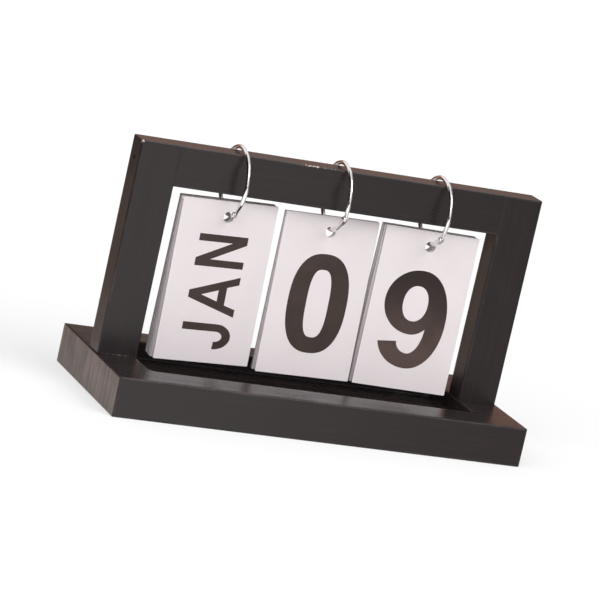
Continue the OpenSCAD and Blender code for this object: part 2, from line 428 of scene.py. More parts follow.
def card_stock():
    material, tree, shader = new_material("white_card_stock", Specular_IOR_Level=0.4)
    fibres = use(tree, mottling, Size=0.6 * MM, Detail=4.0)["Value"]
    cloud = use(tree, mottling, Size=30 * MM, Detail=2.0)["Value"]
    facing = split(tree, place_on(tree, "Normal"))["Y"]
    on_cut = ramp(tree, maths(tree, "ABSOLUTE", facing), FACE_TURN, CUT_TURN)
    # painted shade on the cut edges, as much as the mesh carries for each card
    edge_painted_shade = maths(tree, "MULTIPLY", edge_number(tree), total(tree, 0.75, (fibres, 0.3)))
    coated = blend_colours(tree, cloud, COATED, COATED_PALER)
    cut_edge_painted_shade = blend_colours(tree, edge_painted_shade, CUT_PALE_PAINTED_LIGHT, CUT_DARK_PAINTED_SHADE)
    colour = blend_colours(tree, on_cut, coated, cut_edge_painted_shade)
    drive(tree, shader, colour, total(tree, 0.42, (fibres, 0.12)), fibres, strength=0.25, relief=0.02 * MM)
    return material


white_card = card_stock()
print("made", white_card.name)

# %% [markdown]
# The print is a flat warm black, with a little tooth from the card under it. On the ones cards the
# print is painted paler towards the foot: a painted sheen, the light that the lower part of those
# figures catches. Where a point lies says whether it is on a ones card and how far down: a few
# values, where a painted mask would need an image.

# %% The ink
INK, INK_PALE_AND_PAINTED_SHEEN = (0.028, 0.019, 0.018, 1), (0.095, 0.065, 0.056, 1)
ones_cards_from, ones_cards_to = 28 * MM, 36 * MM
print_top, print_foot = 98 * MM, 30 * MM
even_wear, foot_painted_sheen = 0.34, 1.15


def printed_ink():
    material, tree, shader = new_material("charcoal_print", Specular_IOR_Level=0.2)
    cloud = use(tree, mottling, Size=12 * MM, Detail=3.0)["Value"]
    tooth = use(tree, mottling, Size=0.5 * MM, Detail=3.0)["Value"]
    place = split(tree, place_on(tree))
    on_ones_cards = ramp(tree, place["X"], ones_cards_from, ones_cards_to)
    # painted sheen: on the ones cards the print grows paler towards the foot
    towards_foot = maths(tree, "MULTIPLY", ramp(tree, place["Z"], print_top, print_foot), foot_painted_sheen)
    worn = total(tree, even_wear, (on_ones_cards, maths(tree, "SUBTRACT", towards_foot, even_wear)))
    worn = maths(tree, "MULTIPLY", worn, total(tree, 0.8, (cloud, 0.4)))
    colour = blend_colours(tree, worn, INK, INK_PALE_AND_PAINTED_SHEEN)
    drive(tree, shader, colour, total(tree, 0.38, (tooth, 0.1)), tooth, strength=0.2, relief=0.01 * MM)
    return material


charcoal_ink = printed_ink()
print("made", charcoal_ink.name)

# %% [markdown]
# ## Metal
#
# The rings are nickel-plated wire, bright enough to mirror the room, with fine draw lines along
# the wire. Screws and brads are duller zinc-plated steel. Both are a metallic shader whose tint and
# gloss vary a little, because plating that mirrors evenly everywhere doesn't look like metal.

# %% The metals
NICKEL, ZINC = (0.83, 0.82, 0.81, 1), (0.55, 0.55, 0.57, 1)
DIMMED = 0.82


def plated_metal(name, colour, roughness, lines_per_metre, relief):
    material, tree, shader = new_material(name, Metallic=1.0)
    lines = use(tree, streaks, Lines_per_metre=lines_per_metre, Sharpness=0.25)["Value"]
    cloud = use(tree, mottling, Size=6 * MM, Detail=2.0)["Value"]
    dim = [DIMMED * channel for channel in colour[:3]] + [1]
    tint = blend_colours(tree, maths(tree, "MULTIPLY", lines, 0.35), colour, dim)
    uneven = total(tree, roughness * 0.75, (cloud, roughness * 0.5))
    drive(tree, shader, tint, uneven, lines, strength=0.3, relief=relief)
    return material


bright_nickel = plated_metal("bright_nickel_wire", NICKEL, 0.10, (2600, 500, 500), 0.008 * MM)
zinc_steel = plated_metal("zinc_plated_steel", ZINC, 0.32, (900, 900, 900), 0.02 * MM)
print("made", bright_nickel.name, "and", zinc_steel.name)

# %% [markdown]
# ## Helpers for meshes
#
# Every piece ends the same way: its vertices and faces become an object, normals face outwards,
# edges sharper than a given angle stay crisp, and the piece rides on the body of the CAD node that
# it stands for. The mesh may carry the `edge` number that the finishes read.

# %% Turn points and faces into a piece
def closed_mesh(name, points, faces):
    """A mesh with its normals facing outwards."""
    mesh = bpy.data.meshes.new(name)
    mesh.from_pydata([tuple(p) for p in points], [], faces)
    shaped = bmesh.new()
    shaped.from_mesh(mesh)
    bmesh.ops.recalc_face_normals(shaped, faces=shaped.faces)
    shaped.to_mesh(mesh)
    shaped.free()
    return mesh


def make_piece(name, points, faces, materials, stands_for, edge=None, crisp=35):
    """A piece that stands for a CAD node, rides on its body and takes the given materials."""
    mesh = closed_mesh(name, points, faces)
    if edge:
        numbers = mesh.attributes.new("edge", "FLOAT", "POINT")
        numbers.data.foreach_set("value", edge)
    mesh.polygons.foreach_set("use_smooth", [True] * len(mesh.polygons))
    mesh.set_sharp_from_angle(angle=math.radians(crisp))
    for material in materials:
        mesh.materials.append(material)
    piece = new_object(name, mesh)
    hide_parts(stands_for)
    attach(piece, frame["nodes"][stands_for]["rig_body"])
    return piece


def loft(loops):
    """Joins loops of equally many points into one closed skin; the two end loops are capped."""
    count = len(loops[0])
    points = [point for loop in loops for point in loop]
    faces = [list(range(count)), list(range(len(points) - count, len(points)))]
    for k in range(len(loops) - 1):
        for i in range(count):
            a, b = k * count + i, k * count + (i + 1) % count
            faces.append([a, b, b + count, a + count])
    return points, faces


# %% [markdown]
# ## The wooden sticks
#
# A board fresh from the saw has knife edges. Sandpaper eases them, and that thin round edge is what
# catches the light, so it matters more than anything else for a box to look like wood. The Bevel
# modifier could round a cube. Here each stick is lofted instead, from rectangles with round
# corners: we then know which points lie on an edge, can write that into the mesh for the wear, and
# can leave the joint between stile and rail sharp while the free edges are round. A row of points
# just inside each round edge guards the flat faces, so that shading and wear stay on the edge.

# %% A rectangle with round corners
ARC_STEPS = 4
GUARD = 1.2 * MM


def eased_rectangle(low, high, radii, sides):
    """Points (u, v, edge) round a rectangle from its lower left corner; sides are point counts."""
    (u0, v0), (u1, v1) = low, high
    corners = [(u0, v0, 1, 1, 180), (u1, v0, -1, 1, 270), (u1, v1, -1, -1, 0), (u0, v1, 1, -1, 90)]
    arcs = []
    for (u, v, du, dv, start), radius in zip(corners, radii):
        centre = (u + du * radius, v + dv * radius)
        turns = [math.radians(start + 90 * k / ARC_STEPS) for k in range(ARC_STEPS + 1)]
        arcs.append([(centre[0] + radius * math.cos(t), centre[1] + radius * math.sin(t), 1)
                     for t in turns])
    points = []
    for k, arc_points in enumerate(arcs):
        points += arc_points
        start, end = Vector(arc_points[-1][:2]), Vector(arcs[(k + 1) % 4][0][:2])
        way = (end - start).normalized() * min(GUARD, (end - start).length / 3)
        start, end = start + way, end - way
        count = sides[k % 2]
        points += [(*start.lerp(end, i / (count - 1)), 0) for i in range(count)]
    return points


def rounding(radius):
    """(inset, depth) pairs round a quarter circle, from the flat face to the wall beside it."""
    turns = [math.radians(90 * k / ARC_STEPS) for k in range(ARC_STEPS + 1)]
    return [(radius * (1 - math.sin(t)), radius * (1 - math.cos(t))) for t in turns]


def make_wooden(name, skin, materials, stands_for):
    """A lofted wooden piece from loops of (point, edge number) pairs."""
    points, faces = loft([[point for point, _ in loop] for loop in skin])
    numbers = [number for loop in skin for _, number in loop]
    return make_piece(name, points, faces, materials, stands_for, edge=numbers)


# %% [markdown]
# ## The base board
#
# One solid board with a shallow tray routed under the cards. Its skin is a single loft that starts
# on the underside, goes round the outer edge, over the top, down the wall of the tray and ends on
# the tray's floor. The tray's corners are as round as the router bit.

# %% Build the base board
_, base_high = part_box("base_board")
tray_size = Vector((204, 66)) * MM
tray_depth = 10 * MM
tray_corner = 5 * MM
outer_ease = 0.8 * MM
rim_ease = 0.5 * MM
floor_fillet = 0.8 * MM
least_corner = 0.2 * MM
BASE_SIDES = (43, 19)


def base_loop(half, corner, z, on_edge, worn_corners):
    """A loop of the base's skin. The board's corners are worn edges; the round tray's are not."""
    flat = eased_rectangle((-half[0], -half[1]), (half[0], half[1]), [corner] * 4, BASE_SIDES)
    return [(Vector((u, v, z)), max(edge * worn_corners, on_edge)) for u, v, edge in flat]


def base_skin():
    outer, top = (base_high.x, base_high.y), base_high.z
    tray = tray_size / 2
    tray_floor = top - tray_depth

    def outside(inset, z, on_edge):
        half = (outer[0] - inset, outer[1] - inset)
        return base_loop(half, max(outer_ease - inset, least_corner), z, on_edge, 1)

    def inside(outset, z, on_edge):
        return base_loop((tray.x + outset, tray.y + outset), tray_corner + outset, z, on_edge, 0)

    flat = outer_ease + GUARD
    skin = [[(p, 0) for p, _ in outside(flat, 0, 0)]]
    skin += [outside(inset, depth, 1) for inset, depth in rounding(outer_ease)]
    skin += [outside(0, outer_ease + GUARD, 0), outside(0, top - outer_ease - GUARD, 0)]
    skin += [outside(inset, top - depth, 1) for inset, depth in reversed(rounding(outer_ease))]
    skin += [[(p, 0) for p, _ in outside(flat, top, 0)]]
    skin += [inside(rim_ease + GUARD, top, 0)]
    skin += [inside(outset, top - depth, 1) for outset, depth in rounding(rim_ease)]
    skin += [inside(0, top - rim_ease - GUARD, 0)]
    skin += [inside(-inset, tray_floor + depth, 0) for inset, depth in reversed(rounding(floor_fillet))]
    return skin


base = make_wooden("lacquered_base", base_skin(), [lacquer_along, dull_end_painted_lighter], "base_board")
print("base board:", len(base.data.vertices), "points; mm:", [round(d / MM, 1) for d in base.dimensions])

# %% [markdown]
# The board's grain runs along it, so end grain shows only at its two ends, and they take the dull
# finish, painted lighter as a lit side. The tray's end walls point the same way, but they kept their
# lacquer: only the faces that lie furthest out are changed.

# %% Give the two ends their own finish
reach = max(abs(face.center.x) for face in base.data.polygons)
for face in base.data.polygons:
    if abs(face.normal.x) > 0.95 and abs(face.center.x) > reach - outer_ease:
        face.material_index = base.data.materials.find(dull_end_painted_lighter.name)
print("end faces:", sum(face.material_index for face in base.data.polygons))

# %% [markdown]
# ## Holes under the base and in the stiles
#
# A wood screw comes up through the base into each stile, and a brad is driven through each stile
# into the rail and sunk a little. The holes are cut with the Boolean modifier, because a round hole
# in a flat face is awkward to loft. A cutter is a turned shape: a few radii along an axis.

# %% A helper that drills
def turned(profile, origin, axis, steps=32):
    """Loops of a lathe shape: profile is (distance along the axis, radius)."""
    axis = axis.normalized()
    side = axis.orthogonal().normalized()
    other = axis.cross(side)
    turns = [2 * math.pi * k / steps for k in range(steps)]
    return [[origin + axis * along + (side * math.cos(t) + other * math.sin(t)) * radius
             for t in turns] for along, radius in profile]


def cut(piece, loops):
    """Cuts the closed shape with these loops out of the piece, for good."""
    cutter = new_object("cutter", closed_mesh("cutter", *loft(loops)))
    modifier = piece.modifiers.new("cut", "BOOLEAN")
    modifier.operation = "DIFFERENCE"
    modifier.solver = "EXACT"
    modifier.object = cutter
    bpy.context.view_layer.update()
    result = bpy.data.meshes.new_from_object(piece.evaluated_get(bpy.context.evaluated_depsgraph_get()))
    piece.modifiers.clear()
    piece.data = result
    bpy.data.objects.remove(cutter)
    piece.data.set_sharp_from_angle(angle=math.radians(35))


# %% [markdown]
# A wood screw has a cone under its head, so its hole is wide at first, narrows down the cone, and
# goes on at the width of the shank. A cutter starts a little outside the face that it cuts.

# %% Drill the base for its two screws
cutter_start = -1 * MM
screw_head_r, screw_hole_r = 4 * MM, 2.2 * MM
screw_sink, screw_cone, screw_hole_depth = 1 * MM, 2.4 * MM, 8 * MM
for side in ("left", "right"):
    low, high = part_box(f"{side}_stile_screw")
    middle = Vector(((low.x + high.x) / 2, 0, 0))
    cut(base, turned([(cutter_start, screw_head_r), (screw_sink, screw_head_r),
                      (screw_sink + screw_cone, screw_hole_r), (screw_hole_depth, screw_hole_r)],
                     middle, Vector((0, 0, 1))))
print("base board after drilling:", len(base.data.polygons), "faces")

# %% [markdown]
# ## The upright frame
#
# Two stiles and a rail, butted together and lacquered as one, so the joint is only a hairline. The
# stiles are lofted upwards and the rail along X. The free edges are round and the joint edges
# almost sharp, which is why each corner of the rectangles has a radius of its own.

# %% Build the two stiles
free_ease = 0.7 * MM
joint_ease = 0.08 * MM
least_free_corner = 0.15 * MM
under_joint, over_joint = 0.6 * MM, 0.1 * MM
brad_hole_r, brad_sink = 1.25 * MM, 0.8 * MM
STILE_STEPS = 14
rail_low, rail_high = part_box("top_rail")


def stile_skin(low, high, inner):
    """Loops up a stile; inner is 1 where the rail joins on its right side, and -1 on its left.
    Each level is a height, an inset and the edge number there."""
    levels = [(low.z, joint_ease, 0), (low.z + joint_ease, 0, 0), (low.z + GUARD, 0, 0)]
    levels += [(low.z + GUARD + (rail_low.z - low.z - 2 * GUARD) * k / STILE_STEPS, 0, 0)
               for k in range(1, STILE_STEPS)]
    levels += [(rail_low.z - under_joint, 0, 0), (rail_low.z + over_joint, 0, 0)]
    levels += [(high.z - free_ease - GUARD, 0, 0)]
    levels += [(high.z - depth, inset, 1) for inset, depth in reversed(rounding(free_ease))]
    levels += [(high.z, free_ease + GUARD, 0)]
    skin = []
    for z, inset, on_edge in levels:
        inner_ease = free_ease if z < rail_low.z else joint_ease
        outer_corner = max(free_ease - inset, least_free_corner)
        inner_corner = max(inner_ease - inset, joint_ease)
        left, right = (outer_corner, inner_corner) if inner > 0 else (inner_corner, outer_corner)
        inner_inset = inset if z < rail_low.z else 0
        u0 = low.x + (inset if inner > 0 else inner_inset)
        u1 = high.x - (inner_inset if inner > 0 else inset)
        flat = eased_rectangle((u0, low.y + inset), (u1, high.y - inset),
                               [left, right, right, left], (4, 4))
        middle = (low.x + high.x) / 2
        loop = []
        for u, v, edge in flat:
            in_joint = z > rail_low.z and (u - middle) * inner > 0
            worn = 0 if inset > free_ease or (in_joint and not on_edge) else max(edge, on_edge)
            loop.append((Vector((u, v, z)), worn))
        skin.append(loop)
    return skin


for side, inner in (("left", 1), ("right", -1)):
    low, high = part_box(f"{side}_stile")
    stile = make_wooden(f"lacquered_{side}_stile", stile_skin(low, high, inner), [lacquer_upright],
                        f"{side}_stile")
    brad_low, brad_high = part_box(f"{side}_rail_brad")
    face_x = low.x if inner > 0 else high.x
    place = Vector((face_x, (brad_low.y + brad_high.y) / 2, (brad_low.z + brad_high.z) / 2))
    cut(stile, turned([(cutter_start, brad_hole_r), (brad_sink, brad_hole_r)], place,
                      Vector((inner, 0, 0))))
    print(stile.name, len(stile.data.polygons), "faces")


# %% [markdown]
# The rail fills the space between the stiles. All four of its long edges are free, and its ends
# are hidden in the joints, so one eased rectangle is repeated along it.

# %% Build the top rail
RAIL_STEPS = 30


def rail_skin(low, high):
    flat = eased_rectangle((low.y, low.z), (high.y, high.z), [free_ease] * 4, (4, 5))
    along = [low.x + (high.x - low.x) * k / RAIL_STEPS for k in range(RAIL_STEPS + 1)]
    return [[(Vector((x, y, z)), edge) for y, z, edge in flat] for x in along]


rail = make_wooden("lacquered_top_rail", rail_skin(rail_low, rail_high), [lacquer_along], "top_rail")
print(rail.name, len(rail.data.polygons), "faces")

# %% [markdown]
# The screws and brads are right as the CAD model has them, so their nodes stay, and only their
# material slots are filled.

# %% Finish the screws and brads
for name in ("left_stile_screw", "right_stile_screw", "left_rail_brad", "right_rail_brad"):
    node = frame["nodes"][name]
    node.data.materials.clear()
    node.data.materials.append(zinc_steel)
print("finished 2 screws and 2 brads")

# %% [markdown]
# ## The rings
#
# A loose-leaf ring is two half circles of wire. At the hinge one end is flattened to a tongue, the
# other is slotted to a fork, and a rivet goes through both. Opposite, the ends overlap in a half
# lap that snaps shut. A curve with a bevel could make the round wire, but not the flattened ends,
# so we sweep a section whose width and thickness change along the way.

# %% Measure a ring in the frame
PACKS = ("month", "tens", "ones")
wire_r = 1.25 * MM
eye_r = 1.8 * MM
eye_tip = 0.95 * MM
neck = 6.5 * MM
neck_half_width = 1.55 * MM
outward = 0.75 * MM
outward_from = 5.0 * MM
change_over = 4.0 * MM
least_width = 0.15 * MM
tongue_half = 0.5 * MM
fork_half = 1.37 * MM
slot_half = 0.62 * MM
lap = math.radians(8)
lap_end = math.radians(7.4)
lap_gap = 0.075 * MM
SECTION = 20
LAP_STEPS, WIRE_STEPS, EYE_STEPS = 6, 60, 26


def ring_axes(pack):
    """Centre, axis, direction to the hinge, direction of growing angle, ring radius and hinge."""
    centre = Vector(joints[f"{pack}_front_card_lifts"]["pos_m"])
    hinge = Vector(joints[f"{pack}_ring_opens"]["pos_m"])
    axis = Vector(joints[f"{pack}_front_card_lifts"]["axis"]).normalized()
    first = (hinge - centre).normalized()
    second = axis.cross(first)
    ring_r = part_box(f"{pack}_ring_front_half")[1].z - centre.z - wire_r
    return centre, axis, first, second, ring_r, hinge


print("ring radius in mm:", round(ring_axes("tens")[4] / MM, 2))

# %% [markdown]
# The section is an oval whose two half widths and squareness change along the way: round in the
# wire, flat and squarer towards the hinge, and drawn in to the round end of the eye. In the lap,
# half of it is cut off flat.

# %% Sweep a changing section round the ring
def oval_point(turn, power):
    """The point at that turn of an oval of radius 1; a power over 2 squares the oval."""
    return [math.copysign(abs(x) ** (2 / power), x) for x in (math.cos(turn), math.sin(turn))]


def smooth(t):
    t = max(0.0, min(1.0, t))
    return t * t * (3 - 2 * t)


def hinge_end(s, half):
    """Half width across the ring, half thickness along its axis, outward shift and squareness at
    s metres from the hinge, where the wire turns into a flat eye of that half thickness."""
    flat = smooth((neck - s) / change_over)
    width = wire_r + (neck_half_width - wire_r) * flat
    thick = wire_r + (half - wire_r) * flat
    shift = outward * smooth((outward_from - s) / change_over)
    if s < eye_tip:
        width = math.sqrt(max(eye_r ** 2 - s ** 2, least_width ** 2))
    return width, thick, shift, 2.0 + 3.0 * flat


def ring_section(axes, angle, width, thick, shift, power, keep):
    """One section; keep is +1 or -1 for the half of the lap that stays, or 0 for all of it."""
    centre, axis, first, second, ring_r, _ = axes
    out = first * math.cos(angle) + second * math.sin(angle)
    loop = []
    for k in range(SECTION):
        u, v = oval_point(2 * math.pi * k / SECTION, power)
        along = thick * v
        if keep:
            along = keep * max(keep * along, lap_gap)
        loop.append(centre + out * (ring_r + shift + width * u) + axis * along)
    return loop


def half_ring(pack, front):
    """Loops of one half, from the closure to the hinge."""
    axes = ring_axes(pack)
    ring_r = axes[4]
    half = tongue_half if front else fork_half
    way = 1 if front else -1
    keep = -1 if front else 1
    start, shoulder = math.pi - way * lap_end, math.pi + way * lap
    end = 2 * math.pi if front else 0
    wire_end = end - way * neck / ring_r
    round_wire = (wire_r, wire_r, 0, 2.0)
    loops = [ring_section(axes, start + (shoulder - start) * k / LAP_STEPS, *round_wire, keep)
             for k in range(LAP_STEPS + 1)]
    loops += [ring_section(axes, shoulder + (wire_end - shoulder) * k / WIRE_STEPS, *round_wire, 0)
              for k in range(WIRE_STEPS + 1)]
    for k in range(1, EYE_STEPS + 1):
        s = neck - (neck + eye_r) * k / EYE_STEPS
        loops.append(ring_section(axes, end - way * s / ring_r, *hinge_end(s, half), 0))
    return loops


# %% [markdown]
# The back half's eye is cut to a fork that takes the front half's tongue. The slot could be part of
# the sweep, but a box that is cut out says it more plainly.

# %% Build the six half rings
slot_corners = [(-3 * MM, -4.2 * MM), (3 * MM, -4.2 * MM), (3 * MM, 2.6 * MM), (-3 * MM, 2.6 * MM)]
for pack in PACKS:
    for part, front in (("back_half", False), ("front_half", True)):
        points, faces = loft(half_ring(pack, front))
        piece = make_piece(f"{pack}_wire_{part}", points, faces, [bright_nickel],
                           f"{pack}_ring_{part}", crisp=50)
        if front:
            continue
        _, axis, first, second, _, hinge = ring_axes(pack)
        cut(piece, [[hinge + first * u - second * v + axis * h for u, v in slot_corners]
                    for h in (-slot_half, slot_half)])
    print(pack, "ring: halves with", len(piece.data.polygons), "faces")


# %% [markdown]
# A rivet is a lathe shape: a shank through the eyes and a low dome at each end.

# %% Build the rivets
head_r, head_h, shank_r = 1.3 * MM, 0.35 * MM, 0.68 * MM
dome = [(fork_half + head_h * math.sin(t), head_r * math.cos(t)) for t in (0, 0.4, 0.8, 1.1, 1.35)]
profile = [(-h, r) for h, r in reversed(dome)] + [(-fork_half, shank_r), (fork_half, shank_r)] + dome
for pack in PACKS:
    _, axis, _, _, _, hinge = ring_axes(pack)
    points, faces = loft(turned(profile, hinge, axis, steps=24))
    make_piece(f"{pack}_hinge_rivet", points, faces, [bright_nickel],
               f"{pack}_ring_rivet")
print("rivets:", len(PACKS))

# %% [markdown]
# ## Flat shapes with holes
#
# Cards and printed figures are both flat shapes with holes in them, and a figure such as 9 is
# easiest to say as overlapping parts: an oval, a hook, less the eye of the oval. A constrained
# Delaunay triangulation takes all the outlines at once and reports, for each triangle, which
# outlines it lies in. We keep the triangles that are in some ink and in no gap. That is a 2-D
# Boolean without the Boolean modifier, and it can't leave stray faces.

# %% Cut a flat shape and give it thickness
def anticlockwise(outline):
    """The same outline, going round to the left, which the triangulation needs."""
    area = sum(a[0] * b[1] - b[0] * a[1] for a, b in zip(outline, outline[1:] + outline[:1]))
    return outline if area > 0 else outline[::-1]


def flat_shape(solid, gaps):
    """Points and triangles of what lies in a solid outline and in no gap."""
    points, outlines = [], []
    for outline in [anticlockwise(o) for o in solid + gaps]:
        outlines.append(list(range(len(points), len(points) + len(outline))))
        points += [Vector(p) for p in outline]
    found = geometry.delaunay_2d_cdt(points, [], outlines, 1, 1e-7)
    kept = [face for face, sources in zip(found[2], found[5])
            if any(s < len(solid) for s in sources) and all(s < len(solid) for s in sources)]
    return found[0], kept


def thick_sheet(flat, faces, front, back):
    """Closed sheet from a flat shape: front and back turn a flat point into a place."""
    used = sorted({i for face in faces for i in face})
    number = {old: new for new, old in enumerate(used)}
    count = len(used)
    points = [front(flat[i]) for i in used] + [back(flat[i]) for i in used]
    skin = [[number[i] for i in face] for face in faces]
    skin += [[number[i] + count for i in reversed(face)] for face in faces]
    borders = {}
    for face in faces:
        for a, b in zip(face, list(face[1:]) + [face[0]]):
            if (b, a) in borders:
                del borders[b, a]
            else:
                borders[a, b] = True
    skin += [[number[b], number[a], number[a] + count, number[b] + count] for a, b in borders]
    return points, skin


def arc(centre, radii, start, end, power=2.0, steps=28):
    """Points along an oval from one angle to another, in degrees; a power over 2 squares it."""
    points = []
    for k in range(steps + 1):
        u, v = oval_point(math.radians(start + (end - start) * k / steps), power)
        points.append((centre[0] + radii[0] * u, centre[1] + radii[1] * v))
    return points


def oval(centre, radii, power=2.0, steps=56):
    return arc(centre, radii, 0, 360, power, steps)[:-1]


# %% [markdown]
# ## The cards
#
# Each card's place is read from its CAD node: the corners of the solid give the card's own right,
# up and front directions, and what isn't a corner belongs to the punched hole. So the piece needs
# no table of places, and follows the CAD model when that changes.

# %% Read a card's place from its node
class CardPlace:
    """A card's own origin, directions and sizes, and its hole in its flat coordinates."""

    def __init__(self, node):
        spots = [vertex.co.copy() for vertex in frame["nodes"][node].data.vertices]

        def corner(x, y, z):
            return max(spots, key=lambda p: x * p.x + y * p.y + z * p.z)

        self.origin = corner(-1, -1, -1)
        across, rise = corner(1, -1, -1) - self.origin, corner(-1, -1, 1) - self.origin
        depth = self.origin - corner(-1, 1, -1)
        self.width, self.height, self.thickness = across.length, rise.length, depth.length
        self.right, self.up, self.front = across.normalized(), rise.normalized(), depth.normalized()
        inner = [self.flat(p) for p in spots]
        margin = 1 * MM
        hole = [p for p in inner if margin < p.x < self.width - margin and p.y < self.height - margin]
        low = Vector((min(p.x for p in hole), min(p.y for p in hole)))
        high = Vector((max(p.x for p in hole), max(p.y for p in hole)))
        self.hole = (low + high) / 2
        self.hole_r = (high - low).x / 2

    def flat(self, p):
        offset = p - self.origin
        return Vector((offset.dot(self.right), offset.dot(self.up)))

    def at(self, p, proud=0.0):
        """The place in the frame of a flat point that stands proud of the card's front."""
        return self.origin + self.right * p[0] + self.up * p[1] + self.front * proud


card = CardPlace("tens_card_0")
print("a card in mm:", [round(x / MM, 2) for x in (card.width, card.height, card.thickness)],
      "hole at", [round(x / MM, 2) for x in card.hole], "radius", round(card.hole_r / MM, 2))


# %% [markdown]
# A card is a thin sheet: a rectangle with its corners clipped round by a fraction of a millimetre,
# less the punched hole. Its cut edges are softened by the Bevel modifier, which follows the rim of
# the hole too, where a loft would have to go round both outlines at once. The shade that the cards
# cast on each other's cut edges is painted, and comes and goes through a pack in slow waves of
# dark and light bands. The front card's edge gets no painted shade.

# %% Build one card
corner_clip = 0.4 * MM
soft_edge = 0.07 * MM
painted_shade_wave = 0.8


def build_card(node, rank):
    """Builds the card of that node; its rank in the pack says how much painted shade its cut edge gets."""
    card = CardPlace(node)
    edge_painted_shade = 0.5 + 0.5 * math.cos(painted_shade_wave * (rank - 1)) if rank else 0.0
    edge = eased_rectangle((0, 0), (card.width, card.height), [corner_clip] * 4, (8, 12))
    outline = [(u, v) for u, v, _ in edge]
    flat, faces = flat_shape([outline], [oval(card.hole, (card.hole_r, card.hole_r), steps=40)])
    points, skin = thick_sheet(flat, faces, card.at, lambda p: card.at(p, -card.thickness))
    piece = make_piece(node.replace("card", "sheet"), points, skin, [white_card], node,
                      edge=[edge_painted_shade] * len(points))
    softened = piece.modifiers.new("softened edges", "BEVEL")
    softened.width = soft_edge
    softened.segments = 2
    softened.limit_method = "ANGLE"
    softened.angle_limit = math.radians(50)
    return card


# %% [markdown]
# ## Figures and letters
#
# The print is a plain bold grotesque, the kind of lettering on any calendar. Every figure is drawn
# on a grid one unit high, from bars and ovals. The figures are heavy, with stems of about a fifth
# of their height; the month's letters are lighter. Blender's own text object could set them, but
# its built-in font has other proportions, and these few shapes can be said in a line or two each.

# %% Draw the figures
def bar(x0, y0, x1, y1):
    return [(x0, y0), (x1, y0), (x1, y1), (x0, y1)]


def band(centre, outer, inner, start, end, power=2.0):
    """A bent stroke between an outer and an inner oval, with straight ends."""
    return arc(centre, outer, start, end, power) + arc(centre, inner, end, start, power)


def figure_nine():
    bowl = arc((0.334, 0.673), (0.334, 0.327), 90, 270) + arc((0.334, 0.673), (0.245, 0.327), 270, 360)
    hook = ([(0.334, 1)] + arc((0.352, 0.5), (0.339, 0.5), 90, -90, 2.1)
            + arc((0.352, 0.3), (0.34, 0.3), -90, -169)
            + arc((0.345, 0.278), (0.131, 0.125), 186, 270) + arc((0.345, 0.42), (0.141, 0.267), -90, 0))
    return [bowl, hook], [oval((0.33, 0.662), (0.133, 0.18), 2.15)]


def half_turned(shape, width):
    """The shape upside down, as a 6 is a 9."""
    return tuple([[(width - x, 1 - y) for x, y in outline] for outline in part] for part in shape)


FIGURES = {
    "0": ([oval((0.31, 0.5), (0.317, 0.5), 2.45)], [oval((0.31, 0.5), (0.119, 0.341), 2.9)]),
    "1": ([[(0.08, 0.69), (0.08, 0.83), (0.2, 0.87), (0.3, 1), (0.46, 1), (0.46, 0), (0.25, 0),
            (0.25, 0.69)]], []),
    "2": ([arc((0.31, 0.69), (0.305, 0.317), 172, -36) + [(0.3, 0.165), (0.62, 0.165), (0.62, 0),
            (0, 0), (0.005, 0.13), (0.3, 0.43)]
           + arc((0.305, 0.69), (0.112, 0.165), -42, 172)], []),
    "3": ([band((0.3, 0.735), (0.285, 0.272), (0.095, 0.125), 165, -90),
           band((0.305, 0.275), (0.312, 0.282), (0.115, 0.135), 90, -166),
           bar(0.2, 0.45, 0.31, 0.6)], []),
    "4": ([[(0, 0.2), (0, 0.36), (0.33, 1), (0.53, 1), (0.53, 0.36), (0.63, 0.36), (0.63, 0.2),
            (0.53, 0.2), (0.53, 0), (0.335, 0), (0.335, 0.2)]],
          [[(0.15, 0.36), (0.335, 0.36), (0.335, 0.73)]]),
    "5": ([bar(0.1, 0.84, 0.57, 1), [(0.04, 0.46), (0.1, 1), (0.27, 1), (0.21, 0.5)],
           band((0.305, 0.315), (0.315, 0.325), (0.115, 0.175), 140, -166)], []),
    "6": half_turned(figure_nine(), 0.691),
    "7": ([[(0.01, 0.835), (0.01, 1), (0.62, 1), (0.62, 0.875), (0.46, 0.56), (0.375, 0),
            (0.165, 0), (0.255, 0.5), (0.42, 0.835)]], []),
    "8": ([oval((0.31, 0.745), (0.283, 0.262)), oval((0.31, 0.275), (0.315, 0.283))],
          [oval((0.31, 0.755), (0.1, 0.122)), oval((0.31, 0.272), (0.115, 0.138))]),
    "9": figure_nine(),
}
print("figures:", " ".join(FIGURES))

# %% [markdown]
# The letters share one stem width. A D shape with its gap makes B, D, P and R, and a ring with a
# gap makes C, G and O, so only the straight letters are said bar by bar. Each letter is its width,
# its solid outlines and its gaps.

# %% Draw the letters of the months
STEM = 0.145


def bowl(width, y0, y1):
    """A D shape and the gap in it."""
    r = (y1 - y0) / 2
    middle = (y0 + y1) / 2
    outer = [(0, y0)] + arc((width - r * 0.9, middle), (r * 0.9, r), -90, 90, 2.2) + [(0, y1)]
    inner = ([(STEM, y0 + STEM)]
             + arc((width - r * 0.9, middle), (r * 0.9 - STEM, r - STEM), -90, 90, 2.2)
             + [(STEM, y1 - STEM)])
    return outer, inner


def round_letter(width, gaps=()):
    """A ring that stands a little over and under the line, as round letters do, with gaps."""
    ring = oval((width / 2, 0.5), (width / 2, 0.515), 2.15)
    eye = oval((width / 2, 0.5), (width / 2 - STEM, 0.515 - STEM), 2.15)
    return [ring], [eye] + list(gaps)


def bowls(*shapes, solid=()):
    """A stem with a bowl for each (width, lower end, upper end), and what else is solid."""
    pairs = [bowl(*shape) for shape in shapes]
    outers, inners = [outer for outer, _ in pairs], [inner for _, inner in pairs]
    return outers + [bar(0, 0, STEM, 1)] + list(solid), inners


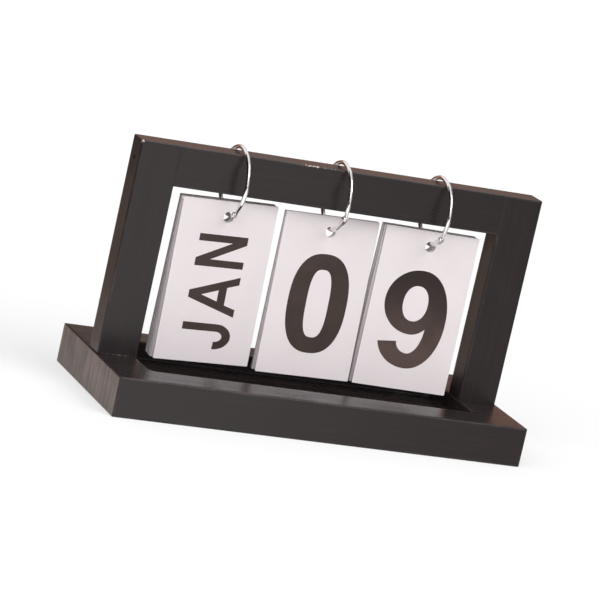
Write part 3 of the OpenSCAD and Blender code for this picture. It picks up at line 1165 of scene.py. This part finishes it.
LETTERS = {
    "A": (0.79, [[(0, 0), (0.79, 0), (0.467, 1), (0.323, 1)]],
          [[(0.152, 0), (0.638, 0), (0.567, 0.235), (0.223, 0.235)],
           [(0.285, 0.4), (0.505, 0.4), (0.395, 0.74)]]),
    "B": (0.64, *bowls((0.6, 0.47, 1), (0.64, 0, 0.6))),
    "C": (0.72, *round_letter(0.72, gaps=[bar(0.36, 0.36, 0.8, 0.64)])),
    "D": (0.68, *bowls((0.68, 0, 1))),
    "E": (0.58, [bar(0, 0, STEM, 1), bar(0, 0, 0.58, 0.135), bar(0, 0.865, 0.57, 1),
                 bar(0, 0.45, 0.53, 0.58)], []),
    "F": (0.55, [bar(0, 0, STEM, 1), bar(0, 0.865, 0.55, 1), bar(0, 0.43, 0.49, 0.565)], []),
    "G": (0.75, *round_letter(0.75, gaps=[bar(0.4, 0.52, 0.86, 0.66)])),
    "J": (0.493, [band((0.2465, 0.3), (0.2465, 0.32), (0.099, 0.142), 176, 360),
                  bar(0.3455, 0.3, 0.493, 1)], []),
    "L": (0.54, [bar(0, 0, STEM, 1), bar(0, 0, 0.54, 0.135)], []),
    "M": (0.8, [bar(0, 0, 0.14, 1), bar(0.66, 0, 0.8, 1), [(0, 1), (0.2, 1), (0.47, 0), (0.33, 0)],
                [(0.6, 1), (0.8, 1), (0.47, 0), (0.33, 0)]], []),
    "N": (0.625, [bar(0, 0, 0.14, 1), bar(0.485, 0, 0.625, 1),
                  [(0, 1), (0.155, 1), (0.625, 0), (0.47, 0)]], []),
    "O": (0.76, *round_letter(0.76)),
    "P": (0.62, *bowls((0.62, 0.4, 1))),
    "R": (0.67, *bowls((0.64, 0.42, 1), solid=[[(0.3, 0.5), (0.46, 0.5), (0.67, 0), (0.505, 0)]])),
    "S": (0.62, [band((0.31, 0.745), (0.29, 0.27), (0.148, 0.135), 14, 270),
                 band((0.31, 0.27), (0.31, 0.285), (0.165, 0.15), 90, -172)], []),
    "T": (0.62, [bar(0, 0.865, 0.62, 1), bar(0.2375, 0, 0.3825, 1)], []),
    "U": (0.64, [band((0.32, 0.34), (0.32, 0.357), (0.175, 0.215), 180, 360, 2.2), bar(0, 0.34, STEM, 1),
                 bar(0.495, 0.34, 0.64, 1)], []),
    "V": (0.7, [[(0, 1), (0.155, 1), (0.425, 0), (0.275, 0)],
                [(0.545, 1), (0.7, 1), (0.425, 0), (0.275, 0)]], []),
    "Y": (0.68, [[(0, 1), (0.165, 1), (0.412, 0.45), (0.268, 0.45)],
                 [(0.515, 1), (0.68, 1), (0.412, 0.45), (0.268, 0.45)], bar(0.268, 0, 0.412, 0.46)], []),
}
print("letters:", " ".join(LETTERS))

# %% [markdown]
# A figure stands upright near the middle of its card. A month is turned to read from bottom to top,
# so its writing direction is the card's up and its letters' tops point left. Both are laid out in
# the card's own flat coordinates, and then made into a film of ink a few hundredths thick, which
# sits on the face of the card and a little in it.

# %% Print the cards
figure_height = 59.35 * MM
figure_middle = {"tens": 30.3 * MM, "ones": 29.5 * MM}
figure_foot = {"tens": 14.2 * MM, "ones": 12.8 * MM}
letter_height = 30.4 * MM
letter_baseline = 44.6 * MM
letter_gap = 4.75 * MM
month_middle = 42.15 * MM
ink_film = 0.02 * MM


def figure_outlines(pack, digit):
    """The solid outlines and the gaps of a figure, in a card's flat coordinates."""
    across = [x for outline in FIGURES[digit][0] for x, _ in outline]
    middle = (min(across) + max(across)) / 2

    def put(p):
        return (figure_middle[pack] + (p[0] - middle) * figure_height,
                figure_foot[pack] + p[1] * figure_height)

    return tuple([[put(p) for p in outline] for outline in part] for part in FIGURES[digit])


def word_outlines(word):
    """The same for a month, letter after letter up the card."""
    widths = [LETTERS[letter][0] * letter_height for letter in word]
    start = month_middle - (sum(widths) + letter_gap * (len(word) - 1)) / 2
    solid, gaps = [], []
    for letter, width in zip(word, widths):
        for target, part in ((solid, LETTERS[letter][1]), (gaps, LETTERS[letter][2])):
            for outline in part:
                target.append([(letter_baseline - y * letter_height, start + x * letter_height)
                               for x, y in outline])
        start += width + letter_gap
    return solid, gaps


def print_card(node, card, outlines):
    """Lays the ink on a card, half above its face and half in it."""
    flat, faces = flat_shape(*outlines)
    points, skin = thick_sheet(flat, faces, lambda p: card.at(p, ink_film), lambda p: card.at(p, -ink_film))
    name = node.replace("card", "print")
    film = new_object(name, closed_mesh(name, points, skin))
    film.data.materials.append(charcoal_ink)
    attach(film, frame["nodes"][node]["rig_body"])


card_nodes = [name for name in frame["nodes"] if "_card_" in name]
for node in card_nodes:
    pack, _, label = node.split("_")
    rank = [name for name in card_nodes if name.startswith(pack)].index(node)
    card = build_card(node, rank)
    outlines = word_outlines(label.upper()) if pack == "month" else figure_outlines(pack, label)
    print_card(node, card, outlines)
print("cards built and printed:", len(card_nodes))

# %% [markdown]
# ## The stage and the light
#
# Black lacquer shows what stands around it more than its own colour, so the set matters. The floor
# is pale and wide, and glows a little for the camera and for mirrors, which keeps it white and its
# shadow faint. The world gives an even light that the camera sees as white. Photographers stand
# cards just out of the picture to decide what a gloss shows: ours are tan, brown or black behind
# the calendar, black on its left and grey-brown on its right, and one lies on the floor in front.

# %% The floor
def make_stage_sheet(name, corners, material):
    mesh = bpy.data.meshes.new(name)
    mesh.from_pydata(corners, [], [tuple(range(len(corners)))])
    mesh.materials.append(material)
    sheet = new_object(name, mesh)
    return sheet


def seen_directly(tree):
    """1 for rays from the camera or off a shiny or clear surface, and 0 for light that scatters."""
    ray = add(tree, "ShaderNodeLightPath").outputs
    shiny_or_clear = maths(tree, "MAXIMUM", ray["Is Glossy Ray"], ray["Is Transmission Ray"])
    return maths(tree, "MAXIMUM", ray["Is Camera Ray"], shiny_or_clear)


def grey(level):
    return (level, level, level, 1)


def level_sheet(x0, y0, x1, y1, z=0.0):
    return [(x0, y0, z), (x1, y0, z), (x1, y1, z), (x0, y1, z)]


floor_for_light, floor_for_eyes, floor_glow = 0.55, 0.45, 0.55
floor_material, tree, shader = new_material("pale_floor", Roughness=1.0, Specular_IOR_Level=0.0,
                                            Emission_Color=grey(1))
seen = seen_directly(tree)
tree.links.new(blend_colours(tree, seen, grey(floor_for_light), grey(floor_for_eyes)),
               shader.inputs["Base Color"])
tree.links.new(maths(tree, "MULTIPLY", seen, floor_glow), shader.inputs["Emission Strength"])
floor_reach = 12.0
below = -0.05 * MM
make_stage_sheet("floor", level_sheet(-floor_reach, -floor_reach, floor_reach, floor_reach, below),
                 floor_material)
print("floor laid, half width in metres:", floor_reach)

# %% [markdown]
# The cards glow instead of being lit, so each one's colour is exactly what a mirror would show, and
# it can change from one stop to the next, as a real card's does when a lamp grazes it. They cast
# no light and no shadow on the calendar: only reflections reach them.

# %% The cards that only reflections see
def reflection_card(name, corners, *stops, way=(1, 0, 0), mirrored=False):
    """A glowing card. Each stop is a distance from the origin along the way, and the colour that
    the card has there; a mirrored card does the same to both sides."""
    material, tree, shader = new_material(name)
    tree.nodes.remove(shader)
    along = vector_maths(tree, "DOT_PRODUCT", place_on(tree), way)["Value"]
    if mirrored:
        along = maths(tree, "ABSOLUTE", along)
    glow = add(tree, "ShaderNodeEmission", {"Color": stops[0][1], "Strength": 1.0})
    colour = stops[0][1]
    for (start, _), (end, next_colour) in zip(stops, stops[1:]):
        colour = blend_colours(tree, ramp(tree, along, start, end), colour, next_colour)
        tree.links.new(colour, glow.inputs["Color"])
    tree.links.new(glow.outputs[0], tree.nodes["Material Output"].inputs["Surface"])
    sheet = make_stage_sheet(name, corners, material)
    sheet.visible_camera = False
    sheet.visible_diffuse = False
    sheet.visible_shadow = False


def upright(x0, y0, x1, y1, top, foot=0.0):
    return [(x0, y0, foot), (x1, y1, foot), (x1, y1, top), (x0, y0, top)]


tan, pale_tan, dusty_tan = (0.46, 0.26, 0.19, 1), (0.55, 0.40, 0.34, 1), (0.56, 0.44, 0.40, 1)
brown, soft_brown, dark_brown = (0.30, 0.22, 0.18, 1), (0.2, 0.14, 0.12, 1), (0.10, 0.060, 0.045, 1)
grey_brown, near_black = (0.13, 0.105, 0.095, 1), (0.004, 0.003, 0.003, 1)
brightest, bright, pale_grey = (1.5, 1.46, 1.44, 1), (1.25, 1.22, 1.2, 1), (0.72, 0.68, 0.655, 1)

# metres; the cards behind stand side by side, and the tan one stands on top of the low ones
behind_y, foot_y, behind_top, low_top, side_top = 0.25, 0.10, 0.26, 0.165, 1.0
black_x, tan_x, dark_x, light_x, right_x = -0.42, -0.30, -0.19, 0.215, 1.0
reflection_card("tan_card_behind", upright(tan_x, behind_y, right_x, behind_y, behind_top, low_top),
                (0.15, tan), (0.42, dark_brown), mirrored=True)
reflection_card("brown_card_behind", upright(tan_x, behind_y, dark_x, behind_y, low_top),
                (0.06, brown), (0.14, soft_brown), way=(0, 0, 1))
reflection_card("dark_card_behind", upright(dark_x, behind_y, light_x, behind_y, low_top),
                (0.072, pale_tan), (0.086, near_black), way=(0, 0, 1))
reflection_card("light_card_behind", upright(light_x, behind_y, right_x, behind_y, low_top), (0, tan))
reflection_card("tan_card_foot", level_sheet(tan_x, foot_y, right_x, behind_y), (0, dusty_tan))
reflection_card("black_card_behind", upright(black_x, behind_y, tan_x, behind_y, behind_top),
                (0, near_black))

left_near_y, right_near_y, grey_x = -0.46, -0.9, 0.6
reflection_card("black_card_left", upright(black_x, left_near_y, black_x, behind_y, side_top),
                (0, near_black))
reflection_card("grey_card_right", upright(grey_x, right_near_y, grey_x, behind_y, side_top),
                (0, grey_brown))

lift = 0.1 * MM
far_left, far_right, nearest_y, base_front_y = -1.2, 2.4, -2.5, -0.058
across = (0.924, 0.383, 0)
reflection_card("shaded_floor_front", level_sheet(far_left, nearest_y, far_right, base_front_y, lift),
                (-0.62, near_black), (-0.5, bright), (-0.14, brightest), (0.12, pale_grey),
                (0.28, grey_brown), way=across)
print("reflection cards set up behind, beside and in front")

# %% [markdown]
# The world and two broad suns light the calendar as a cloudy window would: the key from the front
# right, and a fill from the front left that keeps the shadows open. Area lamps could do the same,
# but a sun lights every side view of the calendar alike.

# %% The world and the suns
world = bpy.data.worlds.new("even white light")
scene.world = world
world.use_nodes = True
tree = world.node_tree
tree.nodes.clear()
ambient = add(tree, "ShaderNodeBackground", {"Color": (1, 1, 1, 1), "Strength": 0.45})
white = add(tree, "ShaderNodeBackground", {"Color": (1, 1, 1, 1), "Strength": 1.0})
mixed = add(tree, "ShaderNodeMixShader", {0: seen_directly(tree), 1: ambient.outputs[0], 2: white.outputs[0]})
add(tree, "ShaderNodeOutputWorld", {"Surface": mixed.outputs[0]})


def add_sun(name, azimuth_deg, height_deg, strength, spread_deg):
    """A sun that stands that far to the right of the front and that high, and spreads so wide."""
    data = bpy.data.lights.new(name, "SUN")
    data.energy = strength
    data.angle = math.radians(spread_deg)
    a, e = math.radians(azimuth_deg), math.radians(height_deg)
    source = Vector((math.sin(a) * math.cos(e), -math.cos(a) * math.cos(e), math.sin(e)))
    new_object(name, data).rotation_euler = source.to_track_quat("Z", "Y").to_euler()


add_sun("broad key from the front right", 34, 44, 1.55, 40)
add_sun("fill from the front left", -50, 34, 1.38, 60)
print("lights set")
